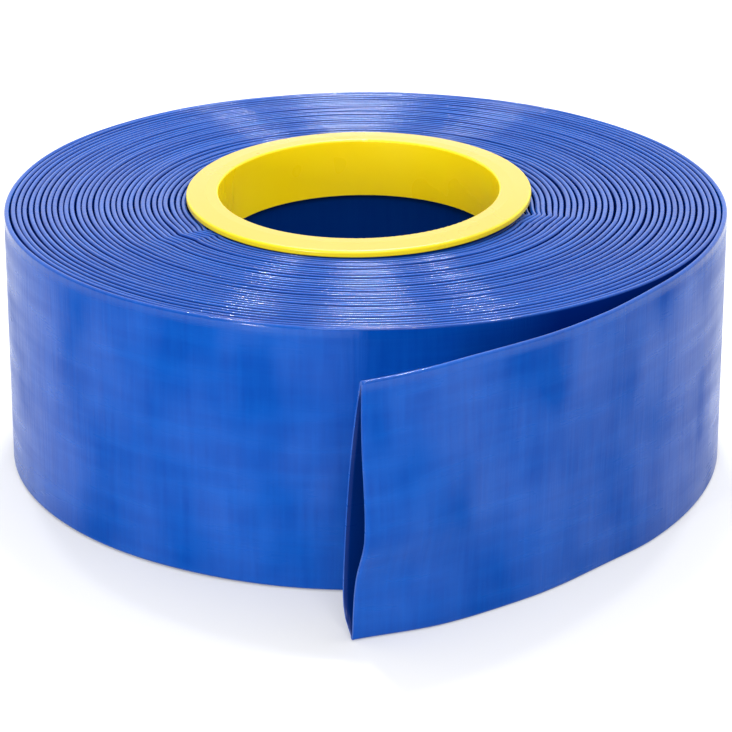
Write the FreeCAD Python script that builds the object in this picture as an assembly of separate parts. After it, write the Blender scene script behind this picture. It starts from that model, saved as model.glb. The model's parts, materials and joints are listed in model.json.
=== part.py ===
import FreeCAD, Part
import math
import os
from FreeCAD import Vector

# A 3 inch PVC lay-flat hose, wound on edge into a flat roll that lies on its side, with a flanged
# plastic core ring in the upper end of the roll's hole. Millimetres, +Z up the roll's axis, origin
# on that axis at the level of the lower folds, on which the roll stands.

# The hose, pressed flat
LAY_FLAT_WIDTH = 122.0
WALL = 1.2
LUMEN_GAP = 0.2
HOSE_THICKNESS = 2 * WALL + LUMEN_GAP
FOLD_HALF_HEIGHT = (LAY_FLAT_WIDTH - HOSE_THICKNESS) / 2
LAYER_THICKNESS = WALL / 3
LAYERS = ["lining", "reinforcement", "cover"]

# The winding: a spiral of half turns whose centres alternate either side of the axis
PITCH = 2.8
HALF_TURNS = 69
OUTER_PATH_RADIUS = 166.6
DEPARTURE_AZIMUTH = 2.0

# The core ring, which leans a little towards the front left, as it was dropped in
BORE_RADIUS = 65.2
SLEEVE_WALL = 2.2
FLAT_RADIUS = 71.0
FLANGE_RADIUS = 80.0
FLANGE_DROP = 1.0
RIM_HEIGHT = 2.9
RING_HEIGHT = 28.5
EDGE_ROUND = 1.2
SMALL_ROUND = 0.4
RING_TOP = 128.2
RING_LEAN = 1.45
RING_LEAN_AZIMUTH = 243.0

# The free end, which leaves the winding on a wider arc, then runs along a gentle one to its open mouth
LEAVING_RADIUS = 193.0
LEAVING_TURN = 49.0
HINGE_TURN = 45.0
HINGE_GAP = 1.5
TAIL_RADIUS = 530.0
TAIL_LENGTH = 127.0
MOUTH_LENGTH = 66.0
MOUTH_HALF_GAPE = 8.0
MOUTH_POWER = 1.6
MOUTH_STEPS = 4

MIDDLE_HEIGHT = LAY_FLAT_WIDTH / 2
UP = Vector(0, 0, 1)


def compass(azimuth):
    """The level unit vector at an azimuth, counted from +X towards +Y."""
    return Vector(math.cos(math.radians(azimuth)), math.sin(math.radians(azimuth)), 0)


def turned(vector, degrees):
    """A level vector turned about the vertical."""
    turn = FreeCAD.Rotation(UP, degrees)
    return turn.multVec(vector)


# Cross-sections of the flattened tube


def fold_points(half_gape):
    """Half height of the lumen and the slope of its walls at the folds, at a given half gape."""
    half_height = FOLD_HALF_HEIGHT - 2 * half_gape**2 / (3 * FOLD_HALF_HEIGHT)
    if half_gape == 0:
        return half_height, 0.0
    bend_radius = (half_height**2 + half_gape**2) / (2 * half_gape)
    return half_height, math.asin(half_height / bend_radius)


def section_edges(centre, normal, offset, half_gape=0.0):
    """The closed outline at one distance from the lumen's middle: front, top fold, back, bottom fold."""
    half_height, slope = fold_points(half_gape)

    def at(across, up):
        return centre + normal * across + UP * up

    lean_across = offset * math.cos(slope)
    lean_up = half_height + offset * math.sin(slope)
    front_low = at(lean_across, -lean_up)
    front_high = at(lean_across, lean_up)
    back_high = at(-lean_across, lean_up)
    back_low = at(-lean_across, -lean_up)
    if half_gape == 0:
        front = Part.LineSegment(front_low, front_high)
        back = Part.LineSegment(back_high, back_low)
    else:
        front = Part.Arc(front_low, at(half_gape + offset, 0), front_high)
        back = Part.Arc(back_high, at(-half_gape - offset, 0), back_low)
    top_fold = Part.Arc(front_high, at(0, half_height + offset), back_high)
    bottom_fold = Part.Arc(back_low, at(0, -half_height - offset), front_low)
    return [curve.toShape() for curve in (front, top_fold, back, bottom_fold)]


def layer_offsets(layer):
    """Inner and outer distance of a wall layer from the lumen's middle."""
    inner = LUMEN_GAP / 2 + LAYERS.index(layer) * LAYER_THICKNESS
    return inner, inner + LAYER_THICKNESS


def square_section_edges(centre, normal, offset):
    """The closed outline of a wound turn, whose folds are left square because its neighbours hide them."""
    across = normal * offset
    up = UP * (FOLD_HALF_HEIGHT + offset)
    corners = [centre + across - up, centre + across + up, centre - across + up, centre - across - up]
    return [Part.LineSegment(a, b).toShape() for a, b in zip(corners, corners[1:] + corners[:1])]


def cut_face(hole, outline):
    """The face between two outlines, where a wall layer is cut across."""
    return Part.Face(Part.Wire(outline)).cut(Part.Face(Part.Wire(hole))).Faces[0]


# Faces made by carrying an outline along the hose


def bent_faces(outline, pivot, degrees):
    return [edge.revolve(pivot, UP, degrees) for edge in outline]


def ruled_faces(outline, next_outline):
    return [Part.makeRuledSurface(a, b) for a, b in zip(outline, next_outline)]


def closed_solid(faces):
    shell = Part.Shell(faces)
    shell.sewShape()
    solid = Part.Solid(Part.Shell(shell.Faces))
    if solid.Volume < 0:
        solid.reverse()
    return solid


# Where the hose runs


DEPARTURE = compass(DEPARTURE_AZIMUTH)
LEAVING_CENTRE = DEPARTURE * (OUTER_PATH_RADIUS - LEAVING_RADIUS) + UP * MIDDLE_HEIGHT


def on_leaving_arc(degrees):
    """The hose's middle, and its outward normal, this far round the arc on which it leaves."""
    outward = turned(DEPARTURE, -degrees)
    return LEAVING_CENTRE + outward * LEAVING_RADIUS, outward


def on_tail_arc(length):
    """The same, this far along the gentle arc that follows."""
    bend_end, outward = on_leaving_arc(LEAVING_TURN)
    normal = turned(outward, -math.degrees(length / TAIL_RADIUS))
    return bend_end + (normal - outward) * TAIL_RADIUS, normal


def half_turn_start(number):
    """Start point, outward normal and pivot of one half turn, counted inwards from the outermost."""
    side = 1 if number % 2 == 0 else -1
    distance = OUTER_PATH_RADIUS - number * PITCH / 2
    start = DEPARTURE * (side * distance) + UP * MIDDLE_HEIGHT
    pivot = DEPARTURE * (side * PITCH / 4) + UP * MIDDLE_HEIGHT
    return start, DEPARTURE * side, pivot


def winding_length():
    radii = [OUTER_PATH_RADIUS - PITCH / 4 - number * PITCH / 2 for number in range(HALF_TURNS)]
    return math.pi * sum(radii)


# The pieces


def wound_layer(layer):
    """One wall layer of the wound hose, from the hinge line in to its inner end."""
    gap_angle = math.degrees(HINGE_GAP / LEAVING_RADIUS)
    outer_end, outer_normal = on_leaving_arc(HINGE_TURN - gap_angle)
    inner_end, inner_normal, pivot = half_turn_start(HALF_TURNS)
    offsets = layer_offsets(layer)
    faces = [
        cut_face(*[square_section_edges(outer_end, outer_normal, offset) for offset in offsets]),
        cut_face(*[square_section_edges(inner_end, inner_normal, offset) for offset in offsets]),
    ]
    for offset in offsets:
        for number in range(HALF_TURNS):
            start, normal, pivot = half_turn_start(number)
            faces += bent_faces(square_section_edges(start, normal, offset), pivot, 180)
        start, normal, pivot = half_turn_start(0)
        leaving = square_section_edges(start, normal, offset)
        faces += bent_faces(leaving, LEAVING_CENTRE, gap_angle - HINGE_TURN)
    return closed_solid(faces)


def mouth_half_gape(share):
    """Half the gap between the walls, at a share of the way along the opening mouth."""
    return MOUTH_HALF_GAPE * share**MOUTH_POWER


def free_layer(layer):
    """One wall layer of the free end, from the hinge line to the mouth."""
    hinge, hinge_normal = on_leaving_arc(HINGE_TURN)
    bend_end, bend_normal = on_leaving_arc(LEAVING_TURN)
    plain_length = TAIL_LENGTH - MOUTH_LENGTH
    mouth_start, start_normal = on_tail_arc(plain_length)
    mouth, mouth_normal = on_tail_arc(TAIL_LENGTH)
    tail_centre = bend_end - bend_normal * TAIL_RADIUS
    offsets = layer_offsets(layer)
    faces = [
        cut_face(*[section_edges(hinge, hinge_normal, offset) for offset in offsets]),
        cut_face(*[section_edges(mouth, mouth_normal, offset, MOUTH_HALF_GAPE) for offset in offsets]),
    ]
    for offset in offsets:
        at_hinge = section_edges(hinge, hinge_normal, offset)
        after_bend = section_edges(bend_end, bend_normal, offset)
        faces += bent_faces(at_hinge, LEAVING_CENTRE, HINGE_TURN - LEAVING_TURN)
        faces += bent_faces(after_bend, tail_centre, -math.degrees(plain_length / TAIL_RADIUS))
        outline = section_edges(mouth_start, start_normal, offset)
        for number in range(1, MOUTH_STEPS + 1):
            share = number / MOUTH_STEPS
            centre, normal = on_tail_arc(plain_length + MOUTH_LENGTH * share)
            next_outline = section_edges(centre, normal, offset, mouth_half_gape(share))
            faces += ruled_faces(outline, next_outline)
            outline = next_outline
    return closed_solid(faces)


def round_edges(shape, radius, height, rounding):
    """Rounds the circular edges of one radius at one height."""

    def wanted(edge):
        curve = edge.Curve
        if not isinstance(curve, Part.Circle):
            return False
        return abs(curve.Radius - radius) < 0.01 and abs(curve.Center.z - height) < 0.01

    return shape.makeFillet(rounding, [edge for edge in shape.Edges if wanted(edge)])


def core_ring():
    """The ring standing level, with its bore's upper edge at z = 0."""
    sleeve_radius = BORE_RADIUS + SLEEVE_WALL
    underside = -FLANGE_DROP - RIM_HEIGHT
    corners = [
        Vector(BORE_RADIUS, 0, 0),
        Vector(FLAT_RADIUS, 0, 0),
        Vector(FLANGE_RADIUS, 0, -FLANGE_DROP),
        Vector(FLANGE_RADIUS, 0, underside),
        Vector(sleeve_radius, 0, underside),
        Vector(sleeve_radius, 0, -RING_HEIGHT),
        Vector(BORE_RADIUS, 0, -RING_HEIGHT),
    ]
    outline = Part.makePolygon(corners + corners[:1])
    ring = Part.Face(outline).revolve(Vector(0, 0, 0), UP, 360)
    ring = round_edges(ring, BORE_RADIUS, 0, EDGE_ROUND)
    ring = round_edges(ring, FLANGE_RADIUS, -FLANGE_DROP, EDGE_ROUND)
    ring = round_edges(ring, FLANGE_RADIUS, underside, SMALL_ROUND)
    ring = round_edges(ring, BORE_RADIUS, -RING_HEIGHT, SMALL_ROUND)
    return round_edges(ring, sleeve_radius, -RING_HEIGHT, SMALL_ROUND)


def seated_ring():
    """The ring where it lies in the roll's hole."""
    ring = core_ring()
    ring.rotate(Vector(0, 0, 0), compass(RING_LEAN_AZIMUTH + 90), RING_LEAN)
    ring.translate(UP * RING_TOP)
    return ring


def save(shape, node):
    solid = shape.Solids[0]
    assert solid.isValid(), node
    solid.exportStep("parts/" + node + ".step")
    print(node, "volume", round(solid.Volume), "faces", len(solid.Faces))


def report_lengths():
    leaving = math.radians(HINGE_TURN) * LEAVING_RADIUS
    free = math.radians(LEAVING_TURN - HINGE_TURN) * LEAVING_RADIUS + TAIL_LENGTH
    print("wound length", round(winding_length() + leaving), "free length", round(free))
    hinge, normal = on_leaving_arc(HINGE_TURN)
    mouth, mouth_normal = on_tail_arc(TAIL_LENGTH)
    lean = FreeCAD.Rotation(compass(RING_LEAN_AZIMUTH + 90), RING_LEAN)
    places = {
        "hinge line": hinge,
        "mouth": mouth,
        "mouth's outward side": mouth_normal,
        "ring's axis": lean.multVec(UP),
    }
    for name, place in places.items():
        print(name, [round(value, 5) for value in place])


os.makedirs("parts", exist_ok=True)
report_lengths()
for layer in LAYERS:
    save(wound_layer(layer), "wound_hose_" + layer)
    save(free_layer(layer), "free_end_" + layer)
save(seated_ring(), "core_ring")
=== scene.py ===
import json
import math

import bpy
import numpy as np
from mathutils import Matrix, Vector


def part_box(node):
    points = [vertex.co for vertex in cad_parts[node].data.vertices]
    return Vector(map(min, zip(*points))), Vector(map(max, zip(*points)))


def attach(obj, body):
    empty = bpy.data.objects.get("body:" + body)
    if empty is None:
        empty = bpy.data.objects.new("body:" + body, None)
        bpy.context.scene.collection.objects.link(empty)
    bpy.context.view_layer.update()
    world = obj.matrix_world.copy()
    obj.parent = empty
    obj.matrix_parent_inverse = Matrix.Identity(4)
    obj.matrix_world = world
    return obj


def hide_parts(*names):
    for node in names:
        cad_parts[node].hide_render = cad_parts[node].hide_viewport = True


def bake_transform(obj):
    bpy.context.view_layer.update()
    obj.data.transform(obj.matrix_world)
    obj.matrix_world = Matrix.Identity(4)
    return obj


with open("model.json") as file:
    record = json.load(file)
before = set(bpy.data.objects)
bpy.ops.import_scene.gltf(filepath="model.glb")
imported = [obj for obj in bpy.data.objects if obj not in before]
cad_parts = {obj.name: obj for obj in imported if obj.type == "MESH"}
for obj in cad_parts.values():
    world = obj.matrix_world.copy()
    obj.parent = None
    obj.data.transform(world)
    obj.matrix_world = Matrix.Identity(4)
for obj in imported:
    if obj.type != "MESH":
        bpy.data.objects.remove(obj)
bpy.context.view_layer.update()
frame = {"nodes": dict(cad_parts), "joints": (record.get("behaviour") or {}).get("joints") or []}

# A roll of flat PVC hose on a pale studio floor. Everything is in metres, in the frame's own axes.
# The hose is one continuous skin. It is carried along a line that starts at the open mouth, runs
# back along the free end, and winds inwards turn by turn to the yellow core ring.

SWING = next(joint for joint in frame["joints"] if joint["name"] == "free_end_swing")
HINGE = np.array(SWING["pos_m"][:2])
ROLL_LOW, ROLL_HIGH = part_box("wound_hose_cover")

# The hose, pressed flat
LAY_FLAT_WIDTH = ROLL_HIGH[2] - ROLL_LOW[2]
THICKNESS = 0.00245
WALL = 0.0012
STATION_SPACING = 0.0024

# The winding and the free end's line, as the frame has them
PITCH = 0.0028
TURNS = 34.5
OUTER_PATH_RADIUS = 0.1666
DEPARTURE = math.radians(2)
LEAVING_RADIUS = 0.193
LEAVING_TURN = math.radians(49)
TAIL_RADIUS = 0.53
TAIL_LENGTH = 0.127
FREE_LENGTH = LEAVING_RADIUS * LEAVING_TURN + TAIL_LENGTH

# How the real roll departs from a perfect one
OUTER_DRIFT = np.array([0.0025, -0.0004])
TURN_WOBBLE = 0.00014
HEIGHT_WOBBLE = 0.0007
MOUTH_LENGTH = 0.075
TAIL_LEAN = math.radians(1.8)
MOUTH_LEAN = math.radians(2.9)
TAIL_BULGE = 0.0041

CAMERA_PLACE = (0.0291, -1.5018, 0.6453)
CAMERA_PITCH = 0.3839
CAMERA_YAW = -0.0171
CAMERA_LENS = 168.2


def smooth(value, low, high):
    """0 below low, 1 above high, with no corner between."""
    share = np.clip((np.asarray(value, float) - low) / (high - low), 0, 1)
    return share * share * (3 - 2 * share)


def ripple(phase, *terms):
    """A sum of sines: each term is (size, waves, offset)."""
    return sum(size * np.sin(waves * phase + offset) for size, waves, offset in terms)


# The line that the hose follows


def bearing(angle):
    return np.stack([np.cos(angle), np.sin(angle)], -1)


def tail_line():
    """Points from the mouth back to where the hose leaves the winding."""
    leaving_centre = bearing(DEPARTURE) * (OUTER_PATH_RADIUS - LEAVING_RADIUS)
    bend_end = DEPARTURE - LEAVING_TURN
    tail_centre = leaving_centre + bearing(bend_end) * (LEAVING_RADIUS - TAIL_RADIUS)
    tail_angles = bend_end - np.linspace(TAIL_LENGTH / TAIL_RADIUS, 0, 200)[:-1]
    leaving_angles = np.linspace(bend_end, DEPARTURE, 260)[:-1]
    tail = tail_centre + TAIL_RADIUS * bearing(tail_angles)
    leaving = leaving_centre + LEAVING_RADIUS * bearing(leaving_angles)
    line = np.vstack([tail, leaving])
    outwards = np.vstack([bearing(tail_angles), bearing(leaving_angles)])
    gone = np.concatenate([
        FREE_LENGTH - TAIL_LENGTH + (bend_end - tail_angles) * TAIL_RADIUS,
        (DEPARTURE - leaving_angles) * LEAVING_RADIUS,
    ])
    bulge = TAIL_BULGE * smooth(gone, 0.140, 0.205) * (1 - smooth(gone, 0.250, 0.303))
    return line + outwards * bulge[:, None]


def winding_line():
    """Points of the spiral, from where the free end leaves it to its inner end."""
    turn = np.linspace(0, TURNS, int(TURNS * 720))
    azimuth = DEPARTURE + 2 * math.pi * turn
    radius = OUTER_PATH_RADIUS - PITCH * turn
    return radius[:, None] * bearing(azimuth)


# Where the turns round the core ring bulge: azimuth, half width in degrees, height. The bulges are
# sharp at the ring and fade outwards.
DENT_RADIUS = 0.080
DENT_REACH = 0.017
DENT_TIP = 0.5
DENTS = [
    (346.5, 4.0, 0.0036),
    (338, 3.5, -0.0012),
    (308, 5, 0.0009),
    (212, 2.6, 0.0030),
    (218, 2.6, -0.0024),
    (35, 6, 0.0012),
    (150, 7, 0.0006),
]


def displaced(line, tail_count):
    """The same line with the roll's dents, drift and uneven turns, which settle out along the free end."""
    radius = np.hypot(line[:, 0], line[:, 1])
    turning = np.unwrap(np.arctan2(line[:, 1], line[:, 0]))
    azimuth = np.degrees(turning) % 360
    outwards = line / radius[:, None]
    push = TURN_WOBBLE * ripple(turning, (0.8, 2.37, 0.4), (0.7, 5.13, 1.1), (0.5, 11.3, 2.0))
    fade = np.exp(-np.maximum(radius - DENT_RADIUS, 0) / DENT_REACH)
    for centre, width, height in DENTS:
        away = (azimuth - centre + 180) % 360 - 180
        pointed = np.exp(-(np.hypot(away, DENT_TIP) - DENT_TIP) / width)
        push = push + height * fade * pointed
    settled = smooth(np.arange(len(line)), 0.55 * tail_count, tail_count)
    share = smooth(radius, 0.075, 0.165) * settled
    return line + outwards * (push * settled)[:, None] + OUTER_DRIFT * share[:, None]


def spaced(line, spacing, seam):
    """The line's points at an even spacing, with its length so far at each.

    Stations crowd together at the seam point, so that the two pieces that meet there shade as one.
    """
    along = np.concatenate([[0], np.cumsum(np.hypot(*np.diff(line, axis=0).T))])
    seam_along = along[np.argmin(np.hypot(*(line - seam).T))]
    even = np.linspace(0, along[-1], int(along[-1] / spacing) + 1)
    even = even[np.abs(even - seam_along) > spacing / 2]
    even = np.sort(np.concatenate([even, seam_along + np.array([-0.00015, 0, 0.00015])]))
    middle = np.stack([np.interp(even, along, line[:, axis]) for axis in (0, 1)], -1)
    return middle, even, int(np.argmin(np.abs(even - seam_along)))


class Hose:
    """Where the hose's middle runs and how its section stands, at each station."""

    def __init__(self):
        tail = tail_line()
        line = displaced(np.vstack([tail, winding_line()]), len(tail))
        self.middle, self.along, self.hinge = spaced(line, STATION_SPACING, HINGE)
        ahead = np.gradient(self.middle, axis=0)
        ahead /= np.hypot(ahead[:, 0], ahead[:, 1])[:, None]
        self.outward = np.stack([ahead[:, 1], -ahead[:, 0]], -1)
        self.lean = self.leaning()
        self.base = self.base_height()
        self.gape = smooth(MOUTH_LENGTH - self.along, 0, MOUTH_LENGTH) ** 0.9

    def leaning(self):
        """How far the hose tips outwards: from near the swing line on, and most at the mouth."""
        gone = FREE_LENGTH - self.along
        return TAIL_LEAN * smooth(gone, 0.120, 0.165) + MOUTH_LEAN * smooth(gone, 0.235, 0.295)

    def base_height(self):
        """The bottom fold's height: the turns beyond the core ring's flange do not sit quite level."""
        angle = self.along / 0.11
        uneven = ripple(angle, (0.5, 0.83, 0.3), (0.3, 2.9, 1.7), (0.2, 7.7, 0.9))
        radius = np.hypot(self.middle[:, 0], self.middle[:, 1])
        on_roll = smooth(self.along, 0.2, 0.6) * smooth(radius, 0.082, 0.090)
        return 0.0001 + HEIGHT_WOBBLE * on_roll * (1 + uneven) / 2


def section(count_fold, count_wall):
    """Points round the flat section, as (side, share up the wall, angle over the fold) in order.

    side is +1 on the outward wall and -1 on the inward one. The fold angle is 0 on the walls.
    """
    points = []
    for share in np.linspace(0, 1, count_wall)[:-1]:
        points.append((1, share, 0.0, 0))
    for angle in np.linspace(0, math.pi, count_fold)[:-1]:
        points.append((0, 1, angle, 1))
    for share in np.linspace(1, 0, count_wall)[:-1]:
        points.append((-1, share, 0.0, 0))
    for angle in np.linspace(0, math.pi, count_fold)[:-1]:
        points.append((0, 0, angle, -1))
    return points


def skin(hose, first, last, half_thickness, outline, bow):
    """Vertices of the hose's skin from one station to another, one closed ring each."""
    stations = slice(first, last + 1)
    middle = hose.middle[stations]
    outward = hose.outward[stations]
    lean = hose.lean[stations]
    gape = hose.gape[stations]
    half_height = LAY_FLAT_WIDTH / 2 - THICKNESS / 2 - 0.0003 * gape
    rings = []
    for side, share, angle, fold in outline:
        if fold:
            across = half_thickness * math.cos(angle) * fold
            up = fold * (half_height + half_thickness * math.sin(angle))
        else:
            up = (2 * share - 1) * half_height
            across = side * half_thickness + gape * bow(side, share)
        height = up * np.cos(lean) - across * np.sin(lean)
        shift = across * np.cos(lean) + up * np.sin(lean)
        lifted = hose.base[stations] + LAY_FLAT_WIDTH / 2 * np.cos(lean) + height
        level = middle + outward * np.broadcast_to(shift, len(middle))[:, None]
        rings.append(np.column_stack([level, lifted]))
    return np.stack(rings, 1)


def mouth_bow(side, share):
    """How far a wall stands off the flat at the mouth, at a share of the way up it."""
    if side > 0:
        reach = 0.30 if share > 0.44 else 0.155
        return 0.0089 * math.exp(-(((share - 0.44) / reach) ** 2)) * (1 - smooth(share, 0.96, 1.0))
    return -0.0102 * (1 - share**3) * (1 - math.exp(-share / 0.045))


def places(along, outline, painted_light_share):
    """For each vertex: distance along the hose and round it, and a painted-light share: 1 where the colour
    is left lit, lower where shade between the turns is painted in.
    """
    rows = []
    for side, share, angle, fold in outline:
        if fold:
            around = LAY_FLAT_WIDTH * (1 if fold > 0 else 2) + THICKNESS / 2 * angle
            # Painted light over the fold: none where it meets the walls and full on its top, so the fold's
            # flanks take painted shade.
            fold_painted_light = math.sin(angle) ** 0.7
        else:
            around = LAY_FLAT_WIDTH * (share if side > 0 else 2 - share)
            fold_painted_light = 0.0
        # The walls take painted shade unless the share given for their side lifts them.
        after_painted_shade = np.maximum(fold_painted_light, painted_light_share[0 if side >= 0 else 1])
        rows.append(np.column_stack([along, np.full(len(along), around), after_painted_shade * np.ones(len(along))]))
    return np.stack(rows, 1)


def strip_faces(index, inwards=False):
    """Quads between successive rings of vertices."""
    a, b = index[:-1], np.roll(index, -1, 1)[:-1]
    d, c = index[1:], np.roll(index, -1, 1)[1:]
    corners = [a, d, c, b] if inwards else [a, b, c, d]
    return np.stack(corners, -1).reshape(-1, 4).tolist()


def new_piece(name, vertices, faces, flat_faces, place):
    """A mesh object whose last flat_faces faces are shaded flat."""
    mesh = bpy.data.meshes.new(name)
    mesh.from_pydata(vertices.reshape(-1, 3).tolist(), [], [tuple(face) for face in faces])
    smooth_flags = [True] * (len(faces) - flat_faces) + [False] * flat_faces
    mesh.polygons.foreach_set("use_smooth", smooth_flags)
    # The attribute holds the place on the hose and the painted-light share that lays painted shade on the
    # colour.
    held = mesh.attributes.new("hose_place_and_painted_light", "FLOAT_VECTOR", "POINT")
    held.data.foreach_set("vector", place.reshape(-1))
    mesh.update()
    piece = bpy.data.objects.new(name, mesh)
    bpy.context.scene.collection.objects.link(piece)
    return piece


def wound_hose(hose):
    outline = section(9, 6)
    last = len(hose.middle) - 1
    rings = skin(hose, hose.hinge, last, THICKNESS / 2, outline, mouth_bow)
    index = np.arange(rings.shape[0] * rings.shape[1]).reshape(rings.shape[:2])
    faces = strip_faces(index) + [index[0][::-1].tolist(), index[-1].tolist()]
    along = hose.along[hose.hinge :]
    turn_length = 2 * math.pi * OUTER_PATH_RADIUS
    gone = along - along[0]
    # Painted shade on the outer wall: somewhat darker where the free end's tail lies in front of it, and
    # fully shaded once another turn lies outside it.
    painted_shade_behind_free_end = smooth(gone, turn_length - 0.14, turn_length - 0.11)
    painted_shade_once_covered = smooth(gone, turn_length - 0.10, turn_length + 0.04)
    outer_painted_light = 1 - 0.2 * painted_shade_behind_free_end - 0.8 * painted_shade_once_covered
    # Painted shade on the inward walls: shaded throughout, only a little lighter on the innermost stretch
    # seen in the bore.
    inner_painted_light = 0.5 * smooth(along - along[-1], -0.47, -0.41)
    place = places(along, outline, (outer_painted_light, inner_painted_light))
    piece = new_piece("wound_hose", rings, faces, 2, place)
    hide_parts("wound_hose_cover", "wound_hose_reinforcement", "wound_hose_lining")
    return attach(piece, "roll")


def free_end(hose):
    """The free end, with a real inner skin so that the mouth is open."""
    outline = section(9, 25)
    outer = skin(hose, 0, hose.hinge, THICKNESS / 2, outline, mouth_bow)
    inner = skin(hose, 0, hose.hinge, THICKNESS / 2 - WALL, outline, mouth_bow)
    outside = np.arange(outer.shape[0] * outer.shape[1]).reshape(outer.shape[:2])
    inside = outside + outside.size
    lips = []
    for station, flip in ((0, False), (-1, True)):
        o, i = outside[station], inside[station]
        quads = np.stack([o, i, np.roll(i, -1), np.roll(o, -1)], -1)
        lips += (quads[:, ::-1] if flip else quads).tolist()
    outer_faces = strip_faces(outside)
    inner_faces = strip_faces(inside, inwards=True)
    vertices = np.concatenate([outer.reshape(-1, 3), inner.reshape(-1, 3)])
    along = hose.along[: hose.hinge + 1]
    place = places(along, outline, (1.0, 1.0)).reshape(-1, 3)
    faces = inner_faces + outer_faces + lips
    piece = new_piece("free_end", vertices, faces, len(lips), np.concatenate([place, place]))
    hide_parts("free_end_cover", "free_end_reinforcement", "free_end_lining")
    piece["lining_faces"] = len(inner_faces)
    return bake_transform(piece)


# Materials


class Nodes:
    """A material whose nodes are added one at a time."""

    def __init__(self, name):
        self.material = bpy.data.materials.new(name)
        self.material.use_nodes = True
        self.tree = self.material.node_tree
        self.shader = self.tree.nodes["Principled BSDF"]

    def add(self, kind, inputs=(), **settings):
        node = self.tree.nodes.new(kind)
        for key, value in settings.items():
            setattr(node, key, value)
        for socket, value in dict(inputs).items():
            self.feed(node.inputs[socket], value)
        return node

    def feed(self, socket, value):
        if isinstance(value, bpy.types.NodeSocket):
            self.tree.links.new(value, socket)
        else:
            socket.default_value = value

    def noise(self, where, stretch, detail=2.0):
        """Noise between 0 and 1 at a place whose axes are stretched first."""
        mapped = self.add("ShaderNodeMapping", {"Vector": where, "Scale": stretch})
        inputs = {"Vector": mapped.outputs["Vector"], "Scale": 1.0, "Detail": detail}
        texture = self.add("ShaderNodeTexNoise", inputs)
        return texture.outputs["Fac"]

    def ramp(self, value, low, high, to_low=0.0, to_high=1.0):
        inputs = {"Value": value, "From Min": low, "From Max": high, "To Min": to_low, "To Max": to_high}
        return self.add("ShaderNodeMapRange", inputs).outputs["Result"]

    def mix(self, share, first, second):
        node = self.add("ShaderNodeMix", data_type="RGBA")
        self.feed(node.inputs[0], share)
        self.feed(node.inputs[6], first)
        self.feed(node.inputs[7], second)
        return node.outputs[2]

    def bump(self, height, distance, strength, normal=None):
        inputs = {"Height": height, "Distance": distance, "Strength": strength}
        if normal is not None:
            inputs["Normal"] = normal
        return self.add("ShaderNodeBump", inputs).outputs["Normal"]


# Base tone, light tone and a third tone for random darker patches, which on the cover also serves as
# painted shade between the turns
COVER_TONES = [(0.0003, 0.058, 0.345), (0.004, 0.118, 0.53), (0.0, 0.014, 0.14)]
LINING_TONES = [(0.0, 0.016, 0.13), (0.0, 0.02, 0.16), (0.0, 0.008, 0.07)]
SLEEVE_YELLOW = (0.98, 0.71, 0.001)
SLEEVE_LIGHT_YELLOW = (1.0, 0.76, 0.002)
# Painted sheen on the core ring's up-facing faces.
PAINTED_SHEEN_YELLOW = (0.55, 0.405, 0.055)
FLOOR_GREY = (0.60, 0.60, 0.60)
FLOOR_PALE_GREY = (0.62, 0.62, 0.62)

# The middle of a fold's arc, in distance round the hose beyond the wall
FOLD_MIDDLE = 0.0019


def hose_material(name, base, light, dark_and_painted_shade, specular):
    """PVC: glossy folds and satin walls, with fine ribs and yarn streaks, and shade between the turns
    painted into the colour.
    """
    made = Nodes(name)
    place = made.add("ShaderNodeAttribute", attribute_name="hose_place_and_painted_light").outputs["Vector"]
    parts = made.add("ShaderNodeSeparateXYZ", {"Vector": place})
    fold_place = {0: parts.outputs["Y"], 1: LAY_FLAT_WIDTH + FOLD_MIDDLE}
    from_fold = made.add("ShaderNodeMath", fold_place, operation="SUBTRACT")
    distance = made.add("ShaderNodeMath", {0: from_fold.outputs[0]}, operation="ABSOLUTE").outputs[0]
    fold = made.ramp(distance, 0.0025, 0.006, 1.0, 0.0)
    ribs = made.noise(place, (1050.0, 60.0, 0.0), 1.0)
    yarn = made.noise(place, (380.0, 22.0, 0.0), 3.0)
    crimp = made.noise(place, (90.0, 900.0, 0.0), 1.0)
    streaks = made.noise(place, (14.0, 110.0, 0.0), 3.0)
    patches = made.noise(place, (24.0, 14.0, 0.0), 2.0)
    tone = made.mix(made.ramp(yarn, 0.35, 0.7, 0.0, 0.25), (*base, 1), (*light, 1))
    tone = made.mix(made.ramp(streaks, 0.4, 0.75, 0.0, 0.35), tone, (*light, 1))
    tone = made.mix(made.ramp(patches, 0.4, 0.7, 0.0, 0.2), tone, (*dark_and_painted_shade, 1))
    # Painted shade: where the painted-light share is low, the colour goes to the shade tone and the gloss
    # is cut. This covers the gaps between the turns, the wall behind the free end and the bore.
    painted_light_share = made.ramp(parts.outputs["Z"], 0.40, 0.98)
    made.feed(made.shader.inputs["Base Color"], made.mix(painted_light_share, (*dark_and_painted_shade, 1), tone))
    wall_roughness = made.ramp(streaks, 0.3, 0.7, 0.36, 0.24)
    roughness = made.add("ShaderNodeMapRange", {"Value": fold, "To Min": wall_roughness, "To Max": 0.08})
    made.feed(made.shader.inputs["Roughness"], roughness.outputs["Result"])
    wall_gloss = made.ramp(patches, 0.35, 0.65, 1.5 * specular, 0.2 * specular)
    gloss = made.add("ShaderNodeMapRange", {"Value": fold, "To Min": wall_gloss, "To Max": 0.34})
    after_painted_shade = made.add("ShaderNodeMath", {0: gloss.outputs["Result"], 1: painted_light_share}, operation="MULTIPLY")
    made.feed(made.shader.inputs["Specular IOR Level"], after_painted_shade.outputs[0])
    first = made.bump(ribs, 0.00010, 0.4)
    second = made.bump(yarn, 0.00035, 0.35, first)
    made.feed(made.shader.inputs["Normal"], made.bump(crimp, 0.00008, 0.7, second))
    return made.material


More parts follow.
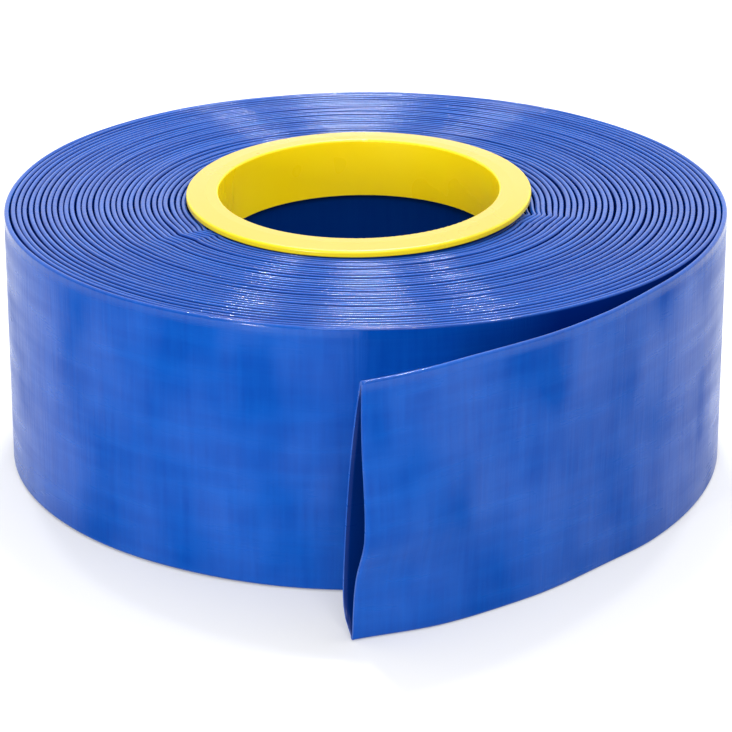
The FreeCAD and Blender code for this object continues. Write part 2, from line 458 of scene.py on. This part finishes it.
def ring_material():
    """Glossy moulded plastic, a little translucent."""
    made = Nodes("core_ring")
    where = made.add("ShaderNodeTexCoord").outputs["Object"]
    mottle = made.noise(where, (30.0, 30.0, 30.0), 2.0)
    tone = made.mix(made.ramp(mottle, 0.3, 0.7), (*SLEEVE_YELLOW, 1), (*SLEEVE_LIGHT_YELLOW, 1))
    # Painted sheen: up-facing faces take a duller, creamier yellow for the light falling on them from
    # above.
    facing = made.add("ShaderNodeTexCoord").outputs["Normal"]
    upward = made.add("ShaderNodeSeparateXYZ", {"Vector": facing}).outputs["Z"]
    painted_upward_sheen = made.ramp(upward, 0.6, 0.98)
    made.feed(made.shader.inputs["Base Color"], made.mix(painted_upward_sheen, tone, (*PAINTED_SHEEN_YELLOW, 1)))
    made.feed(made.shader.inputs["Roughness"], made.ramp(mottle, 0.3, 0.7, 0.26, 0.32))
    made.feed(made.shader.inputs["Subsurface Weight"], 0.15)
    made.feed(made.shader.inputs["Subsurface Radius"], (0.004, 0.003, 0.0005))
    made.feed(made.shader.inputs["Subsurface Scale"], 1.0)
    made.feed(made.shader.inputs["Normal"], made.bump(mottle, 0.0004, 0.03))
    return made.material


def floor_material():
    """Pale and even, with a little light of its own as a backlit sweep has."""
    made = Nodes("floor")
    where = made.add("ShaderNodeTexCoord").outputs["Object"]
    grain = made.noise(where, (3.0, 3.0, 3.0), 2.0)
    tone = made.mix(grain, (*FLOOR_GREY, 1), (*FLOOR_PALE_GREY, 1))
    made.feed(made.shader.inputs["Base Color"], tone)
    made.feed(made.shader.inputs["Roughness"], 0.8)
    made.feed(made.shader.inputs["Specular IOR Level"], 0.1)
    made.feed(made.shader.inputs["Emission Color"], (1, 1, 1, 1))
    made.feed(made.shader.inputs["Emission Strength"], 0.28)
    return made.material


def dress(piece, material):
    piece.data.materials.clear()
    piece.data.materials.append(material)


# The studio


def camera():
    data = bpy.data.cameras.new("camera")
    data.lens = CAMERA_LENS
    data.sensor_width = 36
    item = bpy.data.objects.new("camera", data)
    bpy.context.scene.collection.objects.link(item)
    item.location = CAMERA_PLACE
    ahead = Vector((
        math.sin(CAMERA_YAW) * math.cos(CAMERA_PITCH),
        math.cos(CAMERA_YAW) * math.cos(CAMERA_PITCH),
        -math.sin(CAMERA_PITCH),
    ))
    item.rotation_mode = "QUATERNION"
    item.rotation_quaternion = ahead.to_track_quat("-Z", "Y")
    bpy.context.scene.camera = item


def area_light(name, place, target, size, power):
    data = bpy.data.lights.new(name, "AREA")
    data.shape = "RECTANGLE"
    data.size, data.size_y = size
    data.energy = power
    item = bpy.data.objects.new(name, data)
    bpy.context.scene.collection.objects.link(item)
    item.location = place
    item.rotation_mode = "QUATERNION"
    item.rotation_quaternion = (Vector(target) - Vector(place)).to_track_quat("-Z", "Y")


ROLL_MIDDLE = (0, 0, 0.06)
FLOOR_HALF_SIZE = 12
FLOOR_DROP = 0.0002
SKY_DIM = 0.3
SKY_BRIGHT = 1.3
SKY_BRIGHT_SIDE = (0.30, 0.72, 0.62)

# Each light's place, size and power. The small ones behind make the streaks along the folds.
LIGHTS = {
    "behind": ((0.02, 0.75, 1.75), (0.26, 0.13), 17),
    "glint_left": ((-0.42, 0.72, 1.7), (0.12, 0.05), 6),
    "glint_right": ((0.42, 0.72, 1.7), (0.12, 0.05), 6),
    "fill": ((0.1, -1.7, 1.5), (1.2, 0.8), 21),
    "front_left": ((-0.91, -1.5, 0.24), (0.12, 0.45), 12),
}


def sky():
    """Soft light all round: dim from the front, bright from the back right and above."""
    world = bpy.data.worlds.new("world")
    bpy.context.scene.world = world
    world.use_nodes = True
    tree = world.node_tree
    tree.nodes["Background"].inputs["Color"].default_value = (1, 1, 1, 1)
    where = tree.nodes.new("ShaderNodeTexCoord")
    along = tree.nodes.new("ShaderNodeVectorMath")
    along.operation = "DOT_PRODUCT"
    along.inputs[1].default_value = SKY_BRIGHT_SIDE
    level = tree.nodes.new("ShaderNodeMapRange")
    level.inputs["From Min"].default_value = -0.35
    level.inputs["From Max"].default_value = 0.75
    level.inputs["To Min"].default_value = SKY_DIM
    level.inputs["To Max"].default_value = SKY_BRIGHT
    tree.links.new(where.outputs["Generated"], along.inputs[0])
    tree.links.new(along.outputs["Value"], level.inputs["Value"])
    tree.links.new(level.outputs["Result"], tree.nodes["Background"].inputs["Strength"])


def studio():
    size = FLOOR_HALF_SIZE
    mesh = bpy.data.meshes.new("floor")
    corners = [(-size, -size), (size, -size), (size, size), (-size, size)]
    mesh.from_pydata([(x, y, -FLOOR_DROP) for x, y in corners], [], [(0, 1, 2, 3)])
    floor = bpy.data.objects.new("floor", mesh)
    bpy.context.scene.collection.objects.link(floor)
    dress(floor, floor_material())
    sky()
    for name, (place, size, power) in LIGHTS.items():
        area_light(name, place, ROLL_MIDDLE, size, power)
    bpy.context.scene.view_settings.view_transform = "Standard"


camera()
studio()
hose = Hose()
cover = hose_material("hose_cover", *COVER_TONES, 0.17)
lining = hose_material("hose_lining", *LINING_TONES, 0.1)
wound = wound_hose(hose)
free = free_end(hose)
for piece in (wound, free):
    dress(piece, cover)
free.data.materials.append(lining)
for polygon in free.data.polygons[: free["lining_faces"]]:
    polygon.material_index = 1
dress(frame["nodes"]["core_ring"], ring_material())
